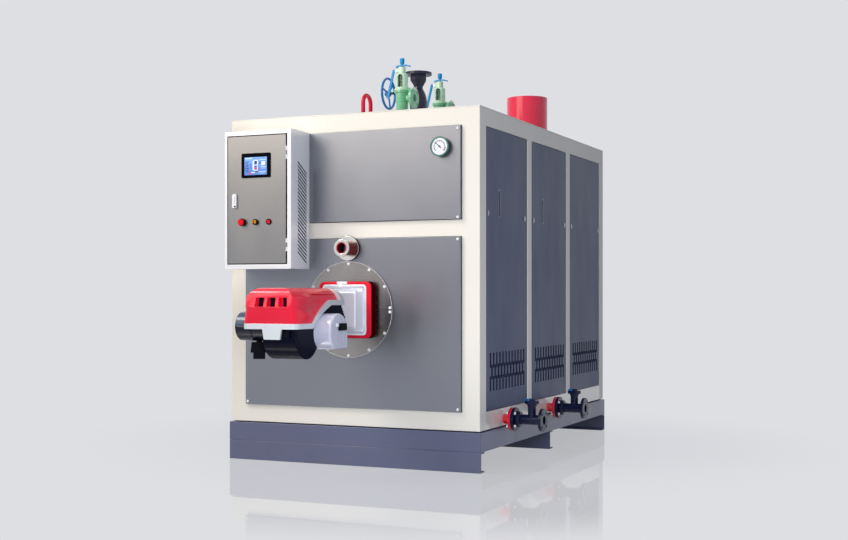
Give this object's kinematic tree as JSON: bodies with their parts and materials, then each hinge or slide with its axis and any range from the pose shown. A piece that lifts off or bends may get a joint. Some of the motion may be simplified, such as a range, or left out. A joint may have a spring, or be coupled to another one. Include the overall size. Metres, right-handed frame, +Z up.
{
  "type": "industrial steam boiler",
  "caption": "Cabinet-type gas steam boiler on steel channels, with a hooded burner, hinged control cabinet, safety valves, stop valve, blowdown valves and flue.",
  "frame": {"origin": "centre of the casing's plan on the floor, on the foot of the middle skid beam", "axes": "+Z up; the burner front looks towards -Y; the side with the blowdown valves towards +X"},
  "size_m": [1.966, 3.56, 2.614],
  "materials": {
    "frame_white": "semi-gloss white paint",
    "front_grey": "glossy light grey sheet",
    "side_slate": "semi-gloss slate blue-grey paint",
    "base_slate": "semi-gloss slate paint",
    "core_dark": "dark insulation behind the sheets",
    "plate_steel": "polished",
    "burner_red": "gloss red",
    "tray_white": "gloss white",
    "rim_silver": "satin",
    "casting_dark": "satin near-black paint",
    "motor_dark": "satin dark blue-grey",
    "air_box_grey": "satin lavender grey",
    "cover_black": "matte",
    "flange_steel": "polished",
    "gauge_teal": "gloss teal bezel",
    "gauge_face": "printed dial under glass",
    "cabinet_grey": "fine textured light grey",
    "plate_zinc": "zinc plated",
    "screen_black": "glass and plastic",
    "stop_red": "gloss",
    "selector_yellow": "gloss",
    "handle_white": "gloss",
    "valve_navy": "gloss near-black paint",
    "valve_mint": "gloss mint paint",
    "lever_blue": "gloss blue",
    "spring_steel": "bright wire",
    "wheel_blue": "gloss blue",
    "stop_valve_violet": "gloss dark violet-grey paint"
  },
  "bodies": {
    "boiler": {"skid_beams": "base_slate", "base_side_beams": "base_slate", "base_end_beams": "base_slate", "insulated_body": "core_dark", "corner_posts": "frame_white", "side_posts": "frame_white", "bottom_rails": "frame_white", "top_rails": "frame_white", "cross_rails": "frame_white", "roof_panel": "frame_white", "front_lower_panel": "front_grey", "front_upper_panel": "front_grey", "rear_panels": "side_slate", "side_panels_right": "side_slate", "side_panels_left": "side_slate", "burner_plate_upper": "plate_steel", "burner_plate_lower": "plate_steel", "burner_mounting_frame": "burner_red", "burner_tray": "tray_white", "burner_neck": "tray_white", "burner_hood": "burner_red", "burner_rim": "rim_silver", "burner_housing": "casting_dark", "burner_motor": "motor_dark", "air_box": "air_box_grey", "damper_cover": "cover_black", "terminal_box": "cover_black", "sight_flange": "flange_steel", "sight_tube": "burner_red", "sight_ring": "flange_steel", "gauge_case": "gauge_teal", "gauge_dial": "gauge_face", "control_cabinet": "cabinet_grey", "cabinet_back_plate": "plate_zinc", "blowdown_stubs": "burner_red", "blowdown_valve_1": "valve_navy", "blowdown_valve_2": "valve_navy", "lifting_ring": "burner_red", "safety_valve_1": "valve_mint", "safety_valve_2": "valve_mint", "safety_springs": "spring_steel", "safety_cap_1": "lever_blue", "safety_cap_2": "lever_blue", "stop_valve_body": "stop_valve_violet", "flue": "burner_red"},
    "cabinet_door": {"cabinet_door": "cabinet_grey", "touch_screen": "screen_black", "emergency_stop": "stop_red", "selector_switch": "selector_yellow", "stop_button": "stop_red", "door_handle": "handle_white"},
    "handwheel": {"handwheel": "wheel_blue", "stop_valve_stem": "valve_navy"},
    "safety_lever_1": {"safety_lever_1": "lever_blue"},
    "safety_lever_2": {"safety_lever_2": "lever_blue"}
  },
  "joints": [
    {"name": "cabinet_door_hinge", "type": "hinge", "parent": "boiler", "child": "cabinet_door", "pos_m": [-0.303, -1.545, 1.6225], "axis": [0, 0, 1], "range_deg": [0, 110]},
    {"name": "handwheel_turn", "type": "hinge", "parent": "boiler", "child": "handwheel", "pos_m": [-0.226, -0.284, 2.432], "axis": [-1, 0, 0], "range_deg": [0, 2880]},
    {"name": "safety_lever_1_lift", "type": "hinge", "parent": "boiler", "child": "safety_lever_1", "pos_m": [-0.04, -0.545, 2.53], "axis": [0, 1, 0], "range_deg": [0, 10]},
    {"name": "safety_lever_2_lift", "type": "hinge", "parent": "boiler", "child": "safety_lever_2", "pos_m": [-0.04, 0.09, 2.53], "axis": [0, 1, 0], "range_deg": [0, 10]}
  ]
}
